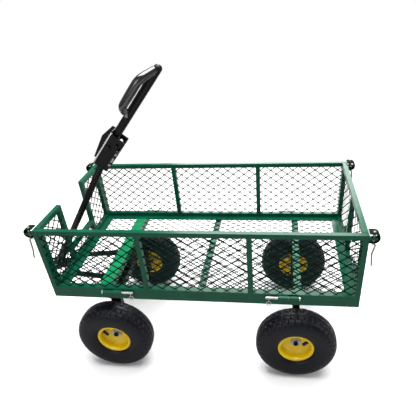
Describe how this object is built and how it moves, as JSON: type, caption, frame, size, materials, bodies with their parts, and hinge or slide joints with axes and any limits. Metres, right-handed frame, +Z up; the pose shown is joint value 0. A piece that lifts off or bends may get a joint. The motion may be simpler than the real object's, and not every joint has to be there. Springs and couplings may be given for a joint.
{
  "type": "garden cart",
  "caption": "Four-wheeled steel garden cart with a mesh bed, fold-down mesh sides and tailgate, a steered front axle and a folding pull handle.",
  "frame": {"origin": "on the ground under the middle of the cart with its handle raised", "axes": "+X from the handle end to the tailgate, +Y to the far side, +Z up"},
  "size_m": [1.123, 0.524, 0.9618],
  "materials": {
    "green_steel": "gloss powder coat",
    "black_steel": "gloss powder coat",
    "zinc_steel": "zinc plated",
    "rim_paint": "gloss powder coat",
    "tyre": "moulded rubber",
    "inner_tube": "smooth rubber",
    "grip_plastic": "gloss"
  },
  "bodies": {
    "bed": {"bed_frame": "green_steel", "front_cross_member": "green_steel", "cross_members": "green_steel", "bed_mesh": "green_steel", "hinge_ears": "green_steel", "hinge_pins": "zinc_steel", "hair_clips": "zinc_steel", "front_panel_frame": "green_steel", "front_panel_mesh": "green_steel", "front_panel_bolts": "zinc_steel", "front_latch_brackets": "black_steel", "turntable_upper": "black_steel", "kingpin": "zinc_steel", "rear_axle_frame": "black_steel", "rear_axle": "zinc_steel", "rear_axle_washers": "zinc_steel"},
    "near_side": {"near_side_frame": "green_steel", "near_side_mesh": "green_steel"},
    "far_side": {"far_side_frame": "green_steel", "far_side_mesh": "green_steel"},
    "tailgate": {"tailgate_frame": "green_steel", "tailgate_mesh": "green_steel", "tailgate_latch_brackets": "black_steel"},
    "front_axle": {"turntable_lower": "black_steel", "front_axle_frame": "black_steel", "stub_axles": "zinc_steel", "front_axle_washers": "zinc_steel", "drawbar": "black_steel", "drawbar_yoke": "black_steel", "yoke_bolt": "zinc_steel"},
    "tongue": {"tongue_tube": "black_steel", "coupler": "black_steel", "coupler_fin": "black_steel", "coupler_bolt": "zinc_steel"},
    "handle": {"upper_tube": "black_steel", "grip_bow": "zinc_steel", "grip_sleeve": "grip_plastic"},
    "hitch_pin": {"hitch_pin": "zinc_steel", "hitch_pin_knob": "grip_plastic"},
    "near_front_latch": {"near_front_latch_rod": "zinc_steel"},
    "near_rear_latch": {"near_rear_latch_rod": "zinc_steel"},
    "far_front_latch": {"far_front_latch_rod": "zinc_steel"},
    "far_rear_latch": {"far_rear_latch_rod": "zinc_steel"},
    "near_front_wheel": {"near_front_tyre": "tyre", "near_front_rim": "rim_paint", "near_front_hub": "zinc_steel", "near_front_inner_tube": "inner_tube"},
    "near_rear_wheel": {"near_rear_tyre": "tyre", "near_rear_rim": "rim_paint", "near_rear_hub": "zinc_steel", "near_rear_inner_tube": "inner_tube"},
    "far_front_wheel": {"far_front_tyre": "tyre", "far_front_rim": "rim_paint", "far_front_hub": "zinc_steel", "far_front_inner_tube": "inner_tube"},
    "far_rear_wheel": {"far_rear_tyre": "tyre", "far_rear_rim": "rim_paint", "far_rear_hub": "zinc_steel", "far_rear_inner_tube": "inner_tube"}
  },
  "joints": [
    {"name": "steering", "type": "hinge", "parent": "bed", "child": "front_axle", "pos_m": [-0.2565, 0, 0.3], "axis": [0, 0, 1], "range_deg": [-20, 20]},
    {"name": "handle_pitch", "type": "hinge", "parent": "front_axle", "child": "tongue", "pos_m": [-0.5415, 0, 0.262], "axis": [0, -1, 0], "range_deg": [0, 138]},
    {"name": "handle_fold", "type": "hinge", "parent": "tongue", "child": "handle", "pos_m": [-0.2251, 0, 0.73203], "axis": [0, 1, 0], "range_deg": [0, 115]},
    {"name": "hitch_pin_slide", "type": "slide", "parent": "tongue", "child": "hitch_pin", "axis": [0.6534, 0, 0.757], "range_m": [0, 0.03]},
    {"name": "near_side_drop", "type": "hinge", "parent": "bed", "child": "near_side", "pos_m": [0.0585, -0.2494, 0.346], "axis": [1, 0, 0], "range_deg": [0, 90]},
    {"name": "far_side_drop", "type": "hinge", "parent": "bed", "child": "far_side", "pos_m": [0.0585, 0.2494, 0.346], "axis": [-1, 0, 0], "range_deg": [0, 90]},
    {"name": "tailgate_drop", "type": "hinge", "parent": "bed", "child": "tailgate", "pos_m": [0.5409, 0, 0.346], "axis": [0, 1, 0], "range_deg": [0, 90]},
    {"name": "near_front_latch_slide", "type": "slide", "parent": "bed", "child": "near_front_latch", "axis": [0, 0, -1], "range_m": [0, 0.032]},
    {"name": "near_rear_latch_slide", "type": "slide", "parent": "tailgate", "child": "near_rear_latch", "axis": [0, 0, -1], "range_m": [0, 0.032]},
    {"name": "far_front_latch_slide", "type": "slide", "parent": "bed", "child": "far_front_latch", "axis": [0, 0, -1], "range_m": [0, 0.032]},
    {"name": "far_rear_latch_slide", "type": "slide", "parent": "tailgate", "child": "far_rear_latch", "axis": [0, 0, -1], "range_m": [0, 0.032]},
    {"name": "near_front_wheel_spin", "type": "hinge", "parent": "front_axle", "child": "near_front_wheel", "pos_m": [-0.2565, -0.22, 0.13], "axis": [0, 1, 0], "continuous": true},
    {"name": "near_rear_wheel_spin", "type": "hinge", "parent": "bed", "child": "near_rear_wheel", "pos_m": [0.3585, -0.22, 0.13], "axis": [0, 1, 0], "continuous": true},
    {"name": "far_front_wheel_spin", "type": "hinge", "parent": "front_axle", "child": "far_front_wheel", "pos_m": [-0.2565, 0.22, 0.13], "axis": [0, 1, 0], "continuous": true},
    {"name": "far_rear_wheel_spin", "type": "hinge", "parent": "bed", "child": "far_rear_wheel", "pos_m": [0.3585, 0.22, 0.13], "axis": [0, 1, 0], "continuous": true}
  ]
}
